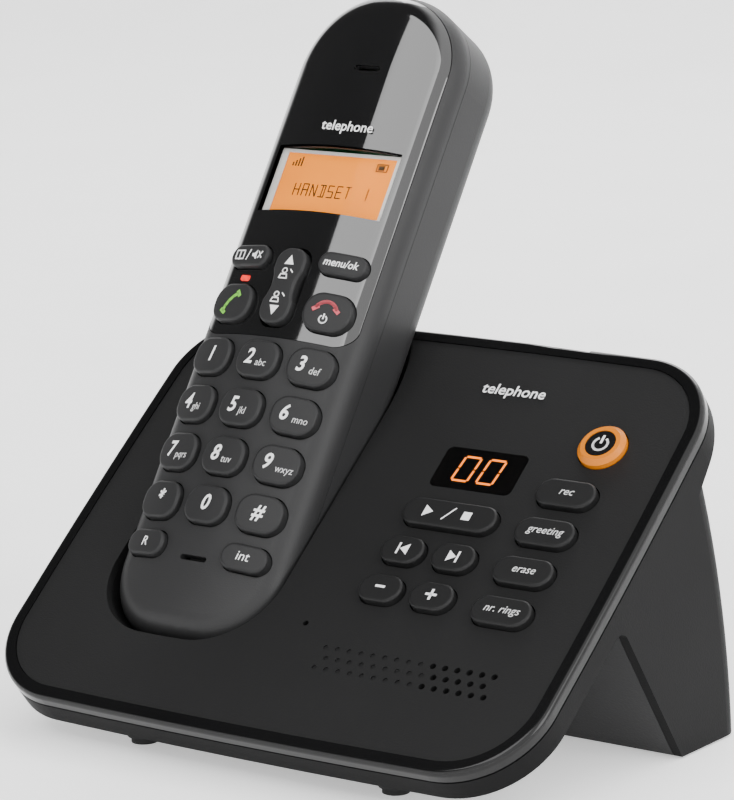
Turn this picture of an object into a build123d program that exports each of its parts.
from build123d import *
import os
from math import cos, radians, sin

# Cordless telephone: answering-machine base with the handset docked in its trough.
# Millimetres. +X is the right of the phone, +Y goes to the back, +Z is up.
# The origin is on the table, under the middle of the phone.

os.makedirs("parts", exist_ok=True)

# ---- overall sizes ---------------------------------------------------------
plate_half_width = 73.6      # half the width of the sloping base plate
plate_length = 117.0         # front to back along the slope
plate_slope = 39.0           # degrees from the table
plate_front_height = 10.7    # height of the plate's front edge
plate_bow = 1.0              # each side of the plate bows out by this much
plate_corner = 21.0          # corner radius of the plate
slab_depth = 8.7             # thickness of the sloping slab
front_y = -64.62             # where the plate's front edge sits

handset_half_width = 23.0
handset_bottom = -31.5       # along the handset, measured from the 0 key
handset_top = 133.0
handset_depth = 26.5         # front face to back face
handset_slope = 56.35        # degrees from the table
handset_x = -31.1            # centreline of the handset
handset_key0_y = 35.66       # the 0 key, behind the plate's front edge
handset_key0_z = 50.42
crown_radius = 66.7          # the handset's face is part of this cylinder
handset_seam = -10.0         # where the front and rear housings meet
foot_height = 0.5            # the housing stands this high on its rubber feet
leg_front_foot = 68.3        # front of the leg at the table, behind the front edge
leg_lean = 54.8              # slope of the leg's front face, degrees
leg_back_foot = 94.5
leg_waist_v = 95.9           # where the leg's rear meets the slab's underside
back_edge_depth = 4.4        # thickness of the plate's back lip
leg_corner = 7.0             # rounding of the leg's rear corners

# ---- walls and fits --------------------------------------------------------
wall = 2.2                   # base shell
cradle_wall = 1.4
handset_wall = 1.8
handset_front_wall = 2.4
lens_thickness = 1.2
part_gap = 0.12              # between pieces that are screwed or clipped together
dock_gap = 0.9               # between the handset and the trough's sides
dock_back_gap = 0.5
slide_fit = 0.3              # between a moving piece and what it runs in
key_travel = 0.8
panel_thickness = 2.15
panel_drop = 0.25            # the matte panel lies this far below the gloss rim
rim_width = 3.2
rim_height = 3.0
rim_groove = 0.45
groove_inset = 0.8

slope_s = sin(radians(plate_slope))
slope_c = cos(radians(plate_slope))
lean_s = sin(radians(handset_slope))
lean_c = cos(radians(handset_slope))

PLATE = Plane(origin=(0, front_y, plate_front_height), x_dir=(1, 0, 0), z_dir=(0, -slope_s, slope_c))
HAND = Plane(
    origin=(handset_x, front_y + handset_key0_y, handset_key0_z),
    x_dir=(1, 0, 0),
    z_dir=(0, -lean_s, lean_c),
)
SIDE = Plane(origin=(0, front_y, 0), x_dir=(0, 1, 0), z_dir=(1, 0, 0))
HAND_SECTION = Plane(origin=HAND.origin, x_dir=(1, 0, 0), z_dir=(0, -lean_c, -lean_s))


def side_point(v, w):
    """Side-view point, v along the slope and w above the plate."""
    return (v * slope_c - w * slope_s, plate_front_height + v * slope_s + w * slope_c)


def meet(p, p_angle, q, q_angle):
    """Where two side-view lines cross, each a point and an angle in degrees."""
    a = (cos(radians(p_angle)), sin(radians(p_angle)))
    b = (cos(radians(q_angle)), sin(radians(q_angle)))
    t = ((q[0] - p[0]) * b[1] - (q[1] - p[1]) * b[0]) / (a[0] * b[1] - a[1] * b[0])
    return (p[0] + a[0] * t, p[1] + a[1] * t)


# ---- helper solids, each made on its own -----------------------------------
def plate_prism(inset, top, bottom):
    """The plate's bowed outline, between two heights above the plate."""
    a = plate_half_width - inset
    b = plate_length / 2 - inset
    bow = plate_bow
    with BuildPart() as solid:
        with BuildSketch(PLATE.offset(bottom)):
            with Locations((0, plate_length / 2)):
                with BuildSketch(Plane.XY, mode=Mode.PRIVATE) as outline:
                    with BuildLine():
                        ThreePointArc((-a + bow, -b + bow), (0, -b), (a - bow, -b + bow))
                        ThreePointArc((a - bow, -b + bow), (a, 0), (a - bow, b - bow))
                        ThreePointArc((a - bow, b - bow), (0, b), (-a + bow, b - bow))
                        ThreePointArc((-a + bow, b - bow), (-a, 0), (-a + bow, -b + bow))
                    make_face()
                    fillet(outline.vertices(), plate_corner - inset)
                add(outline.sketch)
        extrude(amount=top - bottom)
    return solid.part


def plate_box(u0, u1, v0, v1, bottom, top):
    """A box in the plate's own directions."""
    with BuildPart() as solid:
        with BuildSketch(PLATE.offset(bottom)):
            with Locations(((u0 + u1) / 2, (v0 + v1) / 2)):
                Rectangle(u1 - u0, v1 - v0)
        extrude(amount=top - bottom)
    return solid.part


def plate_pad(u, v, width, height, radius, bottom, top):
    """A rounded block standing on the plate's directions."""
    with BuildPart() as solid:
        with BuildSketch(PLATE.offset(bottom)):
            with Locations((u, v)):
                RectangleRounded(width, height, radius)
        extrude(amount=top - bottom)
    return solid.part


def plate_disc(u, v, radius, bottom, top):
    with BuildPart() as solid:
        with BuildSketch(PLATE.offset(bottom)):
            with Locations((u, v)):
                Circle(radius)
        extrude(amount=top - bottom)
    return solid.part


def hand_box(u0, u1, v0, v1, bottom, top):
    """A box in the handset's own directions."""
    with BuildPart() as solid:
        with BuildSketch(HAND.offset(bottom)):
            with Locations(((u0 + u1) / 2, (v0 + v1) / 2)):
                Rectangle(u1 - u0, v1 - v0)
        extrude(amount=top - bottom)
    return solid.part


def hand_pad(u, v, width, height, radius, bottom, top):
    with BuildPart() as solid:
        with BuildSketch(HAND.offset(bottom)):
            with Locations((u, v)):
                RectangleRounded(width, height, radius)
        extrude(amount=top - bottom)
    return solid.part


def hand_disc(u, v, radius, bottom, top):
    with BuildPart() as solid:
        with BuildSketch(HAND.offset(bottom)):
            with Locations((u, v)):
                Circle(radius)
        extrude(amount=top - bottom)
    return solid.part


def side_prism(points, x0, x1):
    """A side-view polygon, swept from x0 to x1."""
    with BuildPart() as solid:
        with BuildSketch(SIDE.offset(x0)):
            with BuildLine():
                Polyline(*points, close=True)
            make_face()
        extrude(amount=x1 - x0)
    return solid.part


# Corners of the base in side view.
slab_front_bottom = side_point(0, -slab_depth)
leg_front_bottom = (leg_front_foot, foot_height)
tunnel_apex = meet(slab_front_bottom, plate_slope, leg_front_bottom, 180 - leg_lean)
back_top = side_point(plate_length, 0)
back_lip = side_point(plate_length, -back_edge_depth)
waist = side_point(leg_waist_v, -slab_depth - 0.6)
leg_back_bottom = (leg_back_foot, foot_height)
leg_back_middle = (
    (waist[0] + leg_back_foot) / 2 + 2.6,
    (waist[1] + foot_height) / 2,
)
wide = plate_half_width + 20


def housing_solid(inset):
    """Slab and leg as one closed block, drawn in by the wall thickness."""
    with BuildPart() as solid:
        with BuildSketch(SIDE.offset(-wide)) as profile:
            with BuildLine():
                Polyline(waist, back_lip, back_top, (0, plate_front_height), slab_front_bottom,
                         tunnel_apex, leg_front_bottom, leg_back_bottom)
                ThreePointArc(leg_back_bottom, leg_back_middle, waist)
            make_face()
            apex = profile.vertices().sort_by_distance((tunnel_apex[0], tunnel_apex[1], 0))[0]
            fillet(apex, 3)
            if inset > 0:
                offset(amount=-inset, mode=Mode.REPLACE)
        extrude(amount=2 * wide)
        add(plate_prism(inset, 20, -120), mode=Mode.INTERSECT)
        rear = (
            solid.edges()
            .filter_by(lambda e: abs(e.center().X) > plate_half_width - 8)
            .filter_by(lambda e: e.center().Y > front_y + waist[0])
            .filter_by(lambda e: 15 < e.center().Z < 50)
        )
        fillet(rear, leg_corner if inset == 0 else 1.5)
    return solid.part


trough_half = handset_half_width + dock_gap
trough_floor = handset_bottom - slide_fit
trough_back = -handset_depth - dock_back_gap
shoulder_radius = 6.5
rear_radius = 7.0
bottom_corner = 17.0
top_corner = 20.5
trough_reach = 150.0
trough_height = 100.0


def trough_box(grow):
    """The room the docked handset needs, seen square on to its face, grown outwards."""
    half = trough_half + grow
    low = trough_floor - grow
    with BuildPart() as solid:
        with BuildSketch(HAND.offset(trough_back - grow)) as outline:
            with BuildLine():
                Line((-half, low + 1.5), (-half, trough_reach))
                Line((-half, trough_reach), (half, trough_reach))
                Line((half, trough_reach), (half, low + 1.5))
                ThreePointArc((half, low + 1.5), (0, low), (-half, low + 1.5))
            make_face()
            corners = outline.vertices().sort_by(Axis(HAND.origin, HAND.y_dir))
            fillet(corners[0:2], bottom_corner + dock_gap + grow)
        extrude(amount=trough_height)
        back = solid.faces().sort_by(Axis(HAND.origin, HAND.z_dir))[0]
        fillet(back.edges(), rear_radius + dock_back_gap + grow)
    return solid.part


def handset_solid(inset, front_inset):
    """The handset's outer skin, or its hollow when drawn in by the walls."""
    half = handset_half_width - inset
    low = handset_bottom + inset
    high = handset_top - inset
    with BuildPart() as solid:
        with BuildSketch(HAND.offset(-handset_depth + inset)) as outline:
            with BuildLine():
                Line((-half, low + 1.5), (-half, high - 3))
                ThreePointArc((-half, high - 3), (0, high), (half, high - 3))
                Line((half, high - 3), (half, low + 1.5))
                ThreePointArc((half, low + 1.5), (0, low), (-half, low + 1.5))
            make_face()
            corners = outline.vertices().sort_by(Axis(HAND.origin, HAND.y_dir))
            fillet(corners[2:4], top_corner - inset)
            corners = outline.vertices().sort_by(Axis(HAND.origin, HAND.y_dir))
            fillet(corners[0:2], bottom_corner - inset)
        extrude(amount=handset_depth - inset + 6)
        with BuildSketch(HAND_SECTION.offset(-300)):
            with Locations((0, -crown_radius)):
                Circle(crown_radius - front_inset)
        extrude(amount=600, mode=Mode.INTERSECT)
        face = solid.faces().sort_by(Axis(HAND.origin, HAND.z_dir))[-1]
        fillet(face.edges(), shoulder_radius - front_inset)
        back = solid.faces().sort_by(Axis(HAND.origin, HAND.z_dir))[0]
        fillet(back.edges(), rear_radius - inset)
    return solid.part


# ---- base: gloss rim, matte top panel, housing, bottom cover ----------------
well_wall = cradle_wall + part_gap + 1.3
well_keep = side_prism(
    [side_point(-20, -wall - 0.2), side_point(plate_length - 6, -wall - 0.2), (leg_back_foot - 14, 2.4), (20, 2.4)],
    -wide, wide,
)

with BuildPart() as well_outside:
    add(trough_box(well_wall))
    add(well_keep, mode=Mode.INTERSECT)
with BuildPart() as well_inside:
    add(trough_box(cradle_wall + part_gap))
    add(side_prism([side_point(-20, -wall), side_point(plate_length + 5, -wall), (leg_back_foot + 20, -5),
                    (0, -5)], -wide, wide), mode=Mode.INTERSECT)

housing_top = -rim_height - rim_groove
with BuildPart() as base_shell:
    add(housing_solid(0))
    add(well_outside.part)
    add(plate_prism(-5, 20, housing_top), mode=Mode.SUBTRACT)
    add(housing_solid(wall), mode=Mode.SUBTRACT)
    add(well_inside.part, mode=Mode.SUBTRACT)

# The cover is everything under the slab, round the tunnel and under the foot.
cover_rise = wall + 0.2
slab_inner = side_point(0, -slab_depth + cover_rise)
leg_inner = (leg_front_foot + cover_rise / sin(radians(leg_lean)), foot_height)
foot_inner = (0, foot_height + cover_rise)
cover_edge = wall + part_gap
cover_profile = [
    side_point(cover_edge, -slab_depth + cover_rise),
    meet(slab_inner, plate_slope, leg_inner, 180 - leg_lean),
    meet(leg_inner, 180 - leg_lean, foot_inner, 0),
    (leg_back_foot - wall - part_gap, foot_height + cover_rise),
    (leg_back_foot - wall - part_gap, -10),
    (-10, -10),
]
with BuildPart() as cover_area:
    add(side_prism(cover_profile, -plate_half_width + cover_edge, plate_half_width - cover_edge))
    add(plate_prism(cover_edge, 20, -120), mode=Mode.INTERSECT)

with BuildPart() as base_bottom_cover:
    add(base_shell.part)
    add(cover_area.part, mode=Mode.INTERSECT)
base_bottom_cover.part.label = "base_bottom_cover"

with BuildPart() as cover_room:
    add(side_prism(cover_profile, -wide, wide))
    add(plate_prism(wall, 20, -120), mode=Mode.INTERSECT)

with BuildPart() as base_outer_housing:
    add(base_shell.part)
    add(cover_room.part, mode=Mode.SUBTRACT)
base_outer_housing.part.label = "base_outer_housing"

panel_top = -panel_drop
panel_under = panel_top - panel_thickness
panel_edge = rim_width + part_gap
trough_void = trough_box(0)

with BuildPart() as base_rim_trim:
    add(plate_prism(0, 0, -rim_height))
    outer_edge = base_rim_trim.faces().sort_by(Axis(PLATE.origin, PLATE.z_dir))[-1].edges()
    fillet(outer_edge, 1.3)
    add(plate_prism(groove_inset, -rim_height, housing_top))
    add(plate_prism(rim_width, 10, panel_under - part_gap), mode=Mode.SUBTRACT)
    add(plate_prism(rim_width + 1.6, 0, -20), mode=Mode.SUBTRACT)
    add(trough_void, mode=Mode.SUBTRACT)
base_rim_trim.part.label = "base_rim_trim"

# Keys of the base: name, place across and along the plate, width.
base_key_height = 7.3
BASE_KEYS = [
    ("base_key_record", 50.4, 75.2, 15.0),
    ("base_key_greeting", 50.4, 64.2, 15.0),
    ("base_key_erase", 50.4, 53.3, 15.0),
    ("base_key_rings", 50.4, 42.3, 15.0),
    ("base_key_play_stop", 25.1, 65.1, 24.5),
    ("base_key_previous", 18.4, 54.1, 11.0),
    ("base_key_next", 31.9, 54.1, 11.0),
    ("base_key_minus", 18.4, 43.2, 11.0),
    ("base_key_plus", 31.9, 43.2, 11.0),
]
base_key_top = 1.5
flange_top = panel_under - slide_fit
flange_under = flange_top - 0.6
membrane_top = flange_under - key_travel - slide_fit
membrane_thickness = 0.4
board_thickness = 1.0
power_key = (52.5, 89.5)
power_radius = 5.7
display = (25.1, 79.0)
display_width = 21.5
display_height = 11.3
microphone = (3.8, 31.9)
grille_u = 12.2
grille_v = 26.6
grille_pitch = 3.15
grille_hole = 0.75
speaker_centre = (48.5, 23.9)
speaker_radius = 11.0

through_holes = []
dimples = []
for row in range(3):
    shift = grille_pitch / 2 if row == 1 else 0
    for column in range(14 if row == 1 else 15):
        spot = (grille_u + shift + column * grille_pitch, grille_v - row * grille_pitch * 0.87)
        if spot[0] > speaker_centre[0] - 8.5:
            through_holes.append(spot)
        else:
            dimples.append(spot)

with BuildPart() as base_top_panel:
    add(plate_prism(panel_edge, panel_top, panel_under))
    add(trough_void, mode=Mode.SUBTRACT)
    with BuildSketch(PLATE.offset(panel_under - 1)):
        for name, u, v, width in BASE_KEYS:
            with Locations((u, v)):
                RectangleRounded(width + 2 * slide_fit, base_key_height + 2 * slide_fit,
                                 base_key_height / 2 + slide_fit - 0.01)
        with Locations(power_key):
            Circle(power_radius + slide_fit)
        with Locations(display):
            RectangleRounded(display_width - 1.6, display_height - 1.6, 1)
        with Locations(microphone):
            Circle(0.7)
        with Locations(*through_holes):
            Circle(grille_hole)
    extrude(amount=6, mode=Mode.SUBTRACT)
    with BuildSketch(PLATE.offset(panel_top - 1.3)):
        with Locations(display):
            RectangleRounded(display_width + 2 * part_gap, display_height + 2 * part_gap, 1.6)
    extrude(amount=6, mode=Mode.SUBTRACT)
    with BuildSketch(PLATE.offset(panel_top - 0.3)):
        with Locations(*dimples):
            Circle(grille_hole - 0.15)
    extrude(amount=6, mode=Mode.SUBTRACT)
base_top_panel.part.label = "base_top_panel"

with BuildPart() as base_display_window:
    add(plate_pad(display[0], display[1], display_width, display_height, 1.5, panel_top - 1.2, panel_top + 0.02))
base_display_window.part.label = "base_display_window"

# The display module shows two digits under the window.
with BuildPart() as base_display_module:
    add(plate_box(display[0] - 9.6, display[0] + 9.6, display[1] - 4.5, display[1] + 4.5,
                  membrane_top - membrane_thickness, -2.1))
base_display_module.part.label = "base_display_module"

board_left = handset_x + trough_half + cradle_wall + 0.8
board_top = membrane_top - membrane_thickness
with BuildPart() as base_circuit_board:
    add(plate_box(board_left, plate_half_width - 7, 37, leg_waist_v + 1, board_top - board_thickness,
                  board_top - 0.02))
    add(plate_prism(8, 5, -20), mode=Mode.INTERSECT)
base_circuit_board.part.label = "base_circuit_board"

with BuildPart() as base_key_membrane:
    add(plate_box(board_left + 1, plate_half_width - 8, 38, leg_waist_v, board_top, membrane_top))
    add(plate_prism(9, 5, -20), mode=Mode.INTERSECT)
    add(plate_box(display[0] - 10.5, display[0] + 10.5, display[1] - 5.4, display[1] + 5.4, -10, 0),
        mode=Mode.SUBTRACT)
base_key_membrane.part.label = "base_key_membrane"

with BuildPart() as base_speaker:
    add(plate_disc(speaker_centre[0], speaker_centre[1], speaker_radius, -slab_depth + wall + 0.1,
                   panel_under - 0.1))
    add(plate_disc(speaker_centre[0], speaker_centre[1], speaker_radius - 1.2, panel_under - 0.9, 0),
        mode=Mode.SUBTRACT)
    add(plate_disc(speaker_centre[0], speaker_centre[1], 4.5, panel_under - 1.1, panel_under - 0.6))
base_speaker.part.label = "base_speaker"

with BuildPart() as base_microphone:
    add(plate_disc(microphone[0], microphone[1], 3, panel_under - 2.2, panel_under - 0.05))
base_microphone.part.label = "base_microphone"

# ---- base: the cradle the handset stands in ---------------------------------
contact_u = 4.0
contact_w = -14.0
contact_size = 2.6
contact_slot = contact_size / 2 + slide_fit
cradle_limit = side_prism(
    [side_point(-20, panel_under - part_gap), side_point(plate_length + 20, panel_under - part_gap),
     side_point(plate_length + 20, -120), side_point(-20, -120)],
    -wide, wide,
)
with BuildPart() as rim_room:
    add(plate_prism(-5, 5, housing_top - part_gap))
    add(plate_prism(rim_width + 1.6 + part_gap, 10, -20), mode=Mode.SUBTRACT)
with BuildPart() as handset_cradle:
    add(trough_box(cradle_wall))
    add(rim_room.part, mode=Mode.SUBTRACT)
    add(cradle_limit, mode=Mode.INTERSECT)
    add(plate_prism(wall + part_gap, 5, -120), mode=Mode.INTERSECT)
    add(trough_void, mode=Mode.SUBTRACT)
    for side in (-1, 1):
        add(hand_box(side * contact_u - contact_slot, side * contact_u + contact_slot, trough_floor - 5,
                     trough_floor + 1, contact_w - contact_slot - 1, contact_w + contact_slot + 1),
            mode=Mode.SUBTRACT)
handset_cradle.part.label = "handset_cradle"


def charge_contact(side):
    """A bent spring strip that stands up through the cradle's ledge."""
    u = side * contact_u
    with BuildPart() as strip:
        add(hand_box(u - contact_size / 2, u + contact_size / 2, trough_floor - 0.9, trough_floor - 0.02,
                     contact_w - contact_size / 2 - 0.9, contact_w + contact_size / 2 + 0.9))
    return strip.part


with BuildPart() as charge_contacts:
    add(charge_contact(-1))
    add(charge_contact(1))
charge_contacts.part.label = "charge_contacts"


# ---- base: keys --------------------------------------------------------------
def base_key(u, v, width):
    with BuildPart() as cap:
        add(plate_pad(u, v, width, base_key_height, base_key_height / 2 - 0.01, flange_under, base_key_top))
        fillet(cap.faces().sort_by(Axis(PLATE.origin, PLATE.z_dir))[-1].edges(), 0.7)
        add(plate_pad(u, v, width + 1.4, base_key_height + 1.4, base_key_height / 2, flange_under, flange_top))
    return cap.part


base_keys = []
for name, u, v, width in BASE_KEYS:
    with BuildPart() as key:
        add(base_key(u, v, width))
    key.part.label = name
    base_keys.append(key.part)

with BuildPart() as base_key_power:
    add(plate_disc(power_key[0], power_key[1], power_radius, flange_under, base_key_top + 0.2))
    chamfer(base_key_power.faces().sort_by(Axis(PLATE.origin, PLATE.z_dir))[-1].edges(), 1.0)
    add(plate_disc(power_key[0], power_key[1], 3.65, base_key_top - 0.1, 5), mode=Mode.SUBTRACT)
    add(plate_disc(power_key[0], power_key[1], power_radius + 0.7, flange_under, flange_top))
base_key_power.part.label = "base_key_power"

# ---- base: feet, sockets, screws ---------------------------------------------
front_foot_x = 34.6
front_foot_y = 15.0
rear_foot_x = 58.0
rear_foot_y = 80.0
foot_radius = 4.0
front_foot_radius = 3.0
foot_recess = 1.0


def upright_disc(x, y, radius, low, high):
    with BuildPart() as disc:
        with BuildSketch(Plane.XY.offset(low)):
            with Locations((x, front_y + y)):
                Circle(radius)
        extrude(amount=high - low)
    return disc.part


pad_zone = side_prism([side_point(0, -slab_depth + 0.5), side_point(60, -slab_depth + 0.5), (60, foot_height + 0.9),
                       (0, foot_height + 0.9)], -wide, wide)
with BuildPart() as foot_pads:
    for side in (-1, 1):
        add(upright_disc(side * front_foot_x, front_foot_y, front_foot_radius + 0.8, foot_height + 0.9, 30))
    add(pad_zone, mode=Mode.INTERSECT)

with BuildPart() as rubber_feet:
    for side in (-1, 1):
        add(upright_disc(side * front_foot_x, front_foot_y, front_foot_radius, 0, foot_height + 1.9))
        add(upright_disc(side * rear_foot_x, rear_foot_y, foot_radius, 0, foot_height + foot_recess))
rubber_feet.part.label = "rubber_feet"

# Sockets in the rear of the leg: their own frame looks straight back.
BACK = Plane(origin=(0, front_y + leg_back_foot, 0), x_dir=(-1, 0, 0), z_dir=(0, 1, 0))
line_x = 34.0
power_x = 52.0
socket_z = 17.0
line_width = 7.4
line_height = 6.2
socket_depth = 9.0


def back_box(x, z, width, height, front, back):
    """A box seen from behind, front and back measured behind the leg's foot."""
    with BuildPart() as solid:
        with BuildSketch(BACK.offset(front)):
            with Locations((-x, z)):
                Rectangle(width, height)
        extrude(amount=back - front)
    return solid.part


def back_disc(x, z, radius, front, back):
    with BuildPart() as solid:
        with BuildSketch(BACK.offset(front)):
            with Locations((-x, z)):
                Circle(radius)
        extrude(amount=back - front)
    return solid.part


jack_face = -2.6
with BuildPart() as line_jack:
    add(back_box(line_x, socket_z, line_width + 3, line_height + 3.4, jack_face - socket_depth - 1.5, jack_face))
    add(back_box(line_x, socket_z, line_width, line_height, jack_face - socket_depth, jack_face + 1), mode=Mode.SUBTRACT)
    add(back_box(line_x, socket_z - line_height / 2 - 0.6, 3.2, 1.4, jack_face - socket_depth, jack_face + 1),
        mode=Mode.SUBTRACT)
    for pin in range(4):
        add(back_box(line_x - 1.8 + pin * 1.2, socket_z + line_height / 2 - 0.4, 0.4, 0.9, jack_face - socket_depth,
                     jack_face - 1.5))
line_jack.part.label = "line_jack"

with BuildPart() as power_jack:
    add(back_box(power_x, socket_z, 9.4, 9.4, jack_face - socket_depth - 1.5, jack_face))
    add(back_disc(power_x, socket_z, 3.2, jack_face - socket_depth, jack_face + 1), mode=Mode.SUBTRACT)
    add(back_disc(power_x, socket_z, 0.9, jack_face - socket_depth - 1, jack_face - 1.5))
power_jack.part.label = "power_jack"

screw_x = 66.0
with BuildPart() as base_screws:
    for side in (-1, 1):
        add(upright_disc(side * screw_x, rear_foot_y + 5, 2.6, foot_height + 0.9, foot_height + 2.3))
        add(upright_disc(side * screw_x, rear_foot_y + 5, 1.3, foot_height + 0.9, foot_height + 10))
        add(upright_disc(side * screw_x, rear_foot_y + 5, 0.9, foot_height, foot_height + 1.4), mode=Mode.SUBTRACT)
base_screws.part.label = "base_screws"

with base_bottom_cover:
    add(foot_pads.part)
    for side in (-1, 1):
        add(upright_disc(side * screw_x, rear_foot_y + 5, 3.2, foot_height + wall - 0.1, foot_height + 12))
    add(base_screws.part, mode=Mode.SUBTRACT)
    for side in (-1, 1):
        add(upright_disc(side * screw_x, rear_foot_y + 5, 2.6, -1, foot_height + 1.5), mode=Mode.SUBTRACT)
    add(rubber_feet.part, mode=Mode.SUBTRACT)
base_bottom_cover.part.label = "base_bottom_cover"

with base_outer_housing:
    add(back_box(line_x, socket_z, line_width + 3 + 2 * part_gap, line_height + 3.4 + 2 * part_gap, -12, 20),
        mode=Mode.SUBTRACT)
    add(back_box(power_x, socket_z, 9.4 + 2 * part_gap, 9.4 + 2 * part_gap, -12, 20), mode=Mode.SUBTRACT)
base_outer_housing.part.label = "base_outer_housing"


# ---- handset: housings, lens, cover ------------------------------------------
lens_low = 42.3              # lower edge of the gloss face, from the 0 key
lens_side = 1.8              # the gloss face stops this far inside the outline
lens_floor = lens_thickness + part_gap
cover_low = handset_bottom + 16.5
cover_high = 47.0
cover_half = 15.6
cover_thickness = 1.4
cover_slide = 6.0
tray_half = 13.2
tray_low = -13.5
tray_high = 35.6
tray_floor = -12.6
cell_radius = 5.2
cell_length = 44.5
cell_depth = -18.9


def lens_prism(gap):
    """The gloss face's outline seen from the front."""
    half = handset_half_width - lens_side + gap
    high = handset_top - lens_side + gap
    low = lens_low - gap
    with BuildPart() as solid:
        with BuildSketch(HAND.offset(-handset_depth)) as outline:
            with BuildLine():
                Line((-half, low), (-half, high - 3))
                ThreePointArc((-half, high - 3), (0, high), (half, high - 3))
                Line((half, high - 3), (half, low))
                Line((half, low), (-half, low))
            make_face()
            corners = outline.vertices().sort_by(Axis.Y)
            fillet(corners[2:4], top_corner - lens_side)
            corners = outline.vertices().sort_by(Axis.Y)
            fillet(corners[0:2], 5)
        extrude(amount=60)
    return solid.part


handset_outside = handset_solid(0, 0)
handset_hollow = handset_solid(handset_wall, handset_front_wall)
lens_skin = handset_solid(lens_floor, lens_floor)
lens_under = handset_solid(lens_thickness, lens_thickness)

# Keys of the handset: name, place, width, height, corner radius.
key_pitch_u = 14.0
key_pitch_v = 12.04
HANDSET_KEYS = [
    ("handset_key_redial", -14.0, -10.5, 11.4, 6.3, 3.0),
    ("handset_key_intercom", 14.0, -10.7, 11.4, 6.3, 3.0),
    ("handset_key_talk", -13.5, 49.7, 12.0, 9.6, 4.4),
    ("handset_key_end", 13.5, 49.7, 12.0, 9.6, 4.4),
    ("handset_key_phonebook", -13.2, 61.7, 12.0, 5.6, 2.75),
    ("handset_key_menu", 13.2, 61.7, 12.0, 5.6, 2.75),
]
digit_names = ["star", "0", "hash", "7", "8", "9", "4", "5", "6", "1", "2", "3"]
for i, digit in enumerate(digit_names):
    HANDSET_KEYS.append((
        "handset_key_" + digit,
        (i % 3 - 1) * key_pitch_u,
        (i // 3) * key_pitch_v,
        11.4, 9.2, 4.0,
    ))
nav_v = 54.6
nav_length = 19.0
nav_width = 8.4
nav_tilt = 3.0
key_raise = 1.7
key_under = -7.0
key_tab = 18.3               # the keys' flanges stay inside this half width
lcd_v = 82.8
lcd_width = 35.2
lcd_height = 17.1
lcd_top = -3.9
earpiece_v = 112.0
led_u = -13.2
led_v = 56.5
mic_v = -12.6


def face_cylinder(offset_out):
    """The cylinder that the handset's face follows, moved out or in."""
    with BuildPart() as solid:
        with BuildSketch(HAND_SECTION.offset(-300)):
            with Locations((0, -crown_radius)):
                Circle(crown_radius + offset_out)
        extrude(amount=600)
    return solid.part


face_raised = face_cylinder(key_raise)
face_inner = face_cylinder(-handset_front_wall - slide_fit)

with BuildPart() as key_holes:
    with BuildSketch(HAND.offset(-9)):
        for name, u, v, width, height, radius in HANDSET_KEYS:
            with Locations((u, v)):
                RectangleRounded(width + 2 * slide_fit, height + 2 * slide_fit, radius + slide_fit)
        with Locations((0, nav_v)):
            RectangleRounded(nav_width + 2 * slide_fit + 0.3, nav_length + 2 * slide_fit + 0.6, 3.6)
    extrude(amount=20)

with BuildPart() as face_holes:
    with BuildSketch(HAND.offset(-9)):
        with Locations((0.7, earpiece_v)):
            SlotOverall(7.4, 1.4)
        with Locations((led_u, led_v)):
            RectangleRounded(3.0, 1.6, 0.6)
    extrude(amount=20)
with BuildPart() as mic_hole:
    with BuildSketch(HAND.offset(-9)):
        with Locations((0.7, mic_v)):
            SlotOverall(7.4, 1.3)
    extrude(amount=20)

front_half = hand_box(-60, 60, -100, 200, handset_seam + part_gap / 2, 60)
rear_half = hand_box(-60, 60, -100, 200, -60, handset_seam - part_gap / 2)

with BuildPart() as lens_recess:
    add(lens_prism(part_gap))
    add(lens_skin, mode=Mode.SUBTRACT)

with BuildPart() as handset_front_housing:
    add(handset_outside)
    add(front_half, mode=Mode.INTERSECT)
    add(handset_hollow, mode=Mode.SUBTRACT)
    add(lens_recess.part, mode=Mode.SUBTRACT)
    add(key_holes.part, mode=Mode.SUBTRACT)
    add(face_holes.part, mode=Mode.SUBTRACT)
    add(mic_hole.part, mode=Mode.SUBTRACT)
    add(hand_box(-lcd_width / 2 - 0.2, lcd_width / 2 + 0.2, lcd_v - lcd_height / 2 - 0.2,
                 lcd_v + lcd_height / 2 + 0.2, -9, 5), mode=Mode.SUBTRACT)
handset_front_housing.part.label = "handset_front_housing"

with BuildPart() as earpiece_dish:
    with Locations(HAND * Location((0.7, earpiece_v, 60 - 0.75))):
        Sphere(60)

with BuildPart() as handset_face_lens:
    add(handset_outside)
    add(lens_prism(0), mode=Mode.INTERSECT)
    add(lens_under, mode=Mode.SUBTRACT)
    add(front_half, mode=Mode.INTERSECT)
    add(key_holes.part, mode=Mode.SUBTRACT)
    add(face_holes.part, mode=Mode.SUBTRACT)
    add(earpiece_dish.part, mode=Mode.SUBTRACT)
handset_face_lens.part.label = "handset_face_lens"

with BuildPart() as cover_surround:
    add(hand_box(-cover_half - 1.4, cover_half + 1.4, cover_low - cover_slide - 2.0, cover_high + 1.6,
                 -handset_depth + 0.9, -handset_depth + cover_thickness + 1.6))
    add(handset_outside, mode=Mode.INTERSECT)

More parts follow.
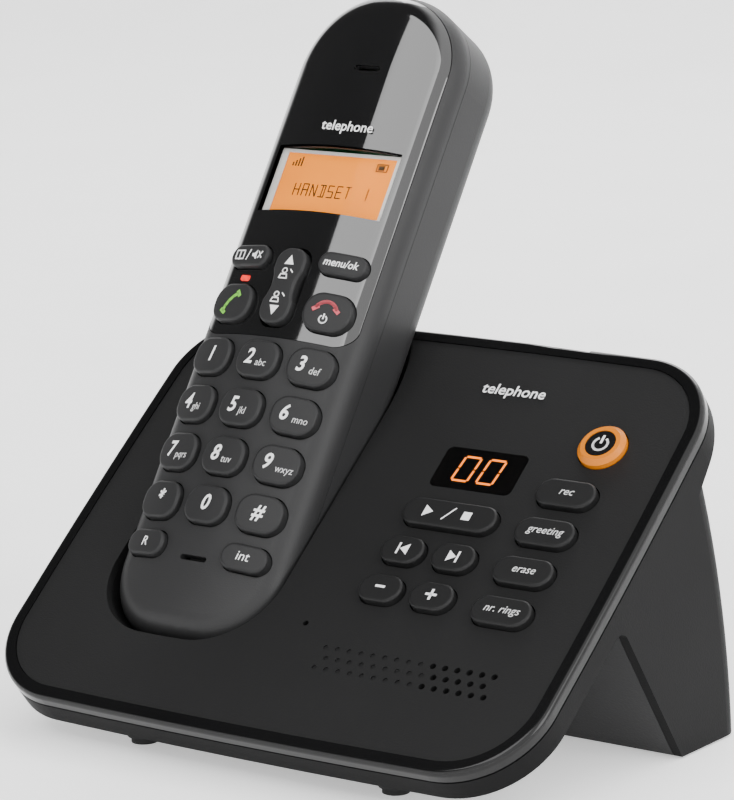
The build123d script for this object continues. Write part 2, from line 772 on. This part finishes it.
with BuildPart() as handset_rear_housing:
    add(handset_outside)
    add(rear_half, mode=Mode.INTERSECT)
    add(handset_hollow, mode=Mode.SUBTRACT)
    add(cover_surround.part)
    add(hand_box(-tray_half - 1.2, tray_half + 1.2, tray_low - 1.2, tray_high + 1.2, -handset_depth + 0.9,
                 tray_floor))
    add(hand_box(-tray_half, tray_half, tray_low, tray_high, -60, tray_floor - 1.0), mode=Mode.SUBTRACT)
    add(hand_pad(0, (cover_low - cover_slide + cover_high) / 2, 2 * cover_half + 2 * slide_fit,
                 cover_high - cover_low + cover_slide + 2 * slide_fit, 3.0, -60,
                 -handset_depth + cover_thickness + slide_fit), mode=Mode.SUBTRACT)
handset_rear_housing.part.label = "handset_rear_housing"

with BuildPart() as battery_cover:
    add(hand_pad(0, (cover_low + cover_high) / 2, 2 * cover_half, cover_high - cover_low, 2.6,
                 -handset_depth, -handset_depth + cover_thickness))
    for ridge in range(5):
        add(hand_pad(0, cover_high - 8 - ridge * 1.8, 14 - ridge * 2, 0.8, 0.39,
                     -handset_depth - 5, -handset_depth + 0.35), mode=Mode.SUBTRACT)
battery_cover.part.label = "battery_cover"

# ---- handset: keys -------------------------------------------------------------
def handset_key(u, v, width, height, radius):
    with BuildPart() as cap:
        add(hand_pad(u, v, width, height, radius, key_under, 6))
        add(face_raised, mode=Mode.INTERSECT)
        fillet(cap.faces().sort_by(Axis(HAND.origin, HAND.z_dir))[-1].edges(), 0.8)
    with BuildPart() as flange:
        add(hand_pad(u, v, width + 1.6, height + 1.6, radius + 0.8, key_under, 0))
        add(face_inner, mode=Mode.INTERSECT)
        add(hand_box(-key_tab, key_tab, -60, 140, -20, 5), mode=Mode.INTERSECT)
        add(cap.part)
    return flange.part


handset_keys = []
for name, u, v, width, height, radius in HANDSET_KEYS:
    with BuildPart() as key:
        add(handset_key(u, v, width, height, radius))
    key.part.label = name
    handset_keys.append(key.part)

nav_key_under = -6.4
with BuildPart() as nav_waist:
    for side in (-1, 1):
        with BuildSketch(HAND.offset(-12)):
            with Locations((side * (nav_width / 2 + 8.0), nav_v)):
                Circle(8.9)
        extrude(amount=20)
with BuildPart() as handset_key_nav:
    add(hand_pad(0, nav_v, nav_width, nav_length, 3.6, nav_key_under, 6))
    add(face_raised, mode=Mode.INTERSECT)
    add(nav_waist.part, mode=Mode.SUBTRACT)
    fillet(handset_key_nav.faces().sort_by(Axis(HAND.origin, HAND.z_dir))[-1].edges(), 0.7)
handset_key_nav.part.label = "handset_key_nav"

# ---- handset: insides ------------------------------------------------------------
board_face = -8.9
board_half = 18.4
with BuildPart() as handset_circuit_board:
    add(hand_box(-board_half, board_half, -27, 121, board_face - 1.4, board_face))
    add(handset_solid(handset_wall + 0.6, handset_front_wall + 0.6), mode=Mode.INTERSECT)
handset_circuit_board.part.label = "handset_circuit_board"

with BuildPart() as handset_key_membrane:
    add(hand_box(-board_half + 0.6, board_half - 0.6, -17.5, 68, board_face + 0.02, board_face + 0.65))
    add(hand_box(led_u - 1.9, led_u + 1.9, led_v - 1.2, led_v + 1.2, -20, 5), mode=Mode.SUBTRACT)
handset_key_membrane.part.label = "handset_key_membrane"

with BuildPart() as lcd_frame:
    add(hand_box(-lcd_width / 2, lcd_width / 2, lcd_v - lcd_height / 2, lcd_v + lcd_height / 2, board_face + 0.02,
                 lcd_top))
    add(hand_box(-15.6, 15.6, lcd_v - 7.7, lcd_v + 7.7, lcd_top - 1.4, 5), mode=Mode.SUBTRACT)
lcd_frame.part.label = "lcd_frame"
with BuildPart() as lcd_panel:
    add(hand_box(-15.5, 15.5, lcd_v - 7.6, lcd_v + 7.6, lcd_top - 1.38, lcd_top - 0.1))
lcd_panel.part.label = "lcd_panel"

with BuildPart() as earpiece_speaker:
    add(hand_disc(0.7, earpiece_v - 2, 9.5, board_face + 0.05, -4.4))
    add(hand_disc(0.7, earpiece_v - 2, 7.5, -5.0, 0), mode=Mode.SUBTRACT)
    add(hand_disc(0.7, earpiece_v - 2, 2.5, -5.2, -4.7))
earpiece_speaker.part.label = "earpiece_speaker"

with BuildPart() as handset_microphone:
    add(hand_disc(0.7, mic_v, 2.9, -6.6, -2.7))
handset_microphone.part.label = "handset_microphone"

with BuildPart() as led_light_pipe:
    add(hand_pad(led_u, led_v, 2.8, 1.4, 0.5, board_face + 0.02, -1.33))
led_light_pipe.part.label = "led_light_pipe"

with BuildPart() as battery_cells:
    for side in (-1, 1):
        cell_end = HAND.from_local_coords(Vector(side * (cell_radius + 0.6), tray_low + 2.2, cell_depth))
        with BuildSketch(Plane(origin=cell_end, x_dir=(1, 0, 0), z_dir=HAND.y_dir)):
            Circle(cell_radius)
        extrude(amount=cell_length)
battery_cells.part.label = "battery_cells"

pad_width = 3.2
pad_depth = 4.2
with BuildPart() as charge_pads:
    for side in (-1, 1):
        add(hand_box(side * contact_u - pad_width / 2, side * contact_u + pad_width / 2, handset_bottom + 0.15,
                     handset_bottom + 2.4, contact_w - pad_depth / 2, contact_w + pad_depth / 2))
charge_pads.part.label = "charge_pads"

with BuildPart() as battery_contacts:
    for side in (-1, 1):
        u = side * (cell_radius + 0.6)
        add(hand_box(u - 3.2, u + 3.2, tray_low + 0.05, tray_low + 2.15, cell_depth - 3.6, tray_floor - 1.1))
        add(hand_box(u - 3.2, u + 3.2, tray_high - 1.85, tray_high - 0.05, cell_depth - 3.6, tray_floor - 1.1))
battery_contacts.part.label = "battery_contacts"

ringer_v = 78.0
ringer_floor = -handset_depth + handset_wall
with BuildPart() as ringer_speaker:
    add(hand_disc(0, ringer_v, 9, ringer_floor + 0.05, ringer_floor + 5.5))
    add(hand_disc(0, ringer_v, 7.6, -40, ringer_floor + 0.9), mode=Mode.SUBTRACT)
    add(hand_disc(0, ringer_v, 3, ringer_floor + 0.5, ringer_floor + 1))
ringer_speaker.part.label = "ringer_speaker"

with handset_rear_housing:
    for slot in range(5):
        add(hand_pad(0, ringer_v + (slot - 2) * 2.6, 12 - 2 * abs(slot - 2), 1.2, 0.59, -60, ringer_floor + 0.01),
            mode=Mode.SUBTRACT)
    add(charge_pads.part, mode=Mode.SUBTRACT)
handset_rear_housing.part.label = "handset_rear_housing"

# ---- write every piece ---------------------------------------------------------------
pieces = [
    base_outer_housing, base_bottom_cover, base_rim_trim, base_top_panel, base_display_window,
    base_display_module, base_circuit_board, base_key_membrane, base_speaker, base_microphone,
    handset_cradle, charge_contacts, base_key_power, rubber_feet, line_jack, power_jack, base_screws,
    handset_front_housing, handset_face_lens, handset_rear_housing, battery_cover, handset_key_nav,
    handset_circuit_board, handset_key_membrane, lcd_frame, lcd_panel, earpiece_speaker,
    handset_microphone, led_light_pipe, battery_cells, charge_pads, battery_contacts, ringer_speaker,
]
for piece in pieces:
    export_step(piece.part, "parts/" + piece.part.label + ".step")
for solid in base_keys + handset_keys:
    export_step(solid, "parts/" + solid.label + ".step")
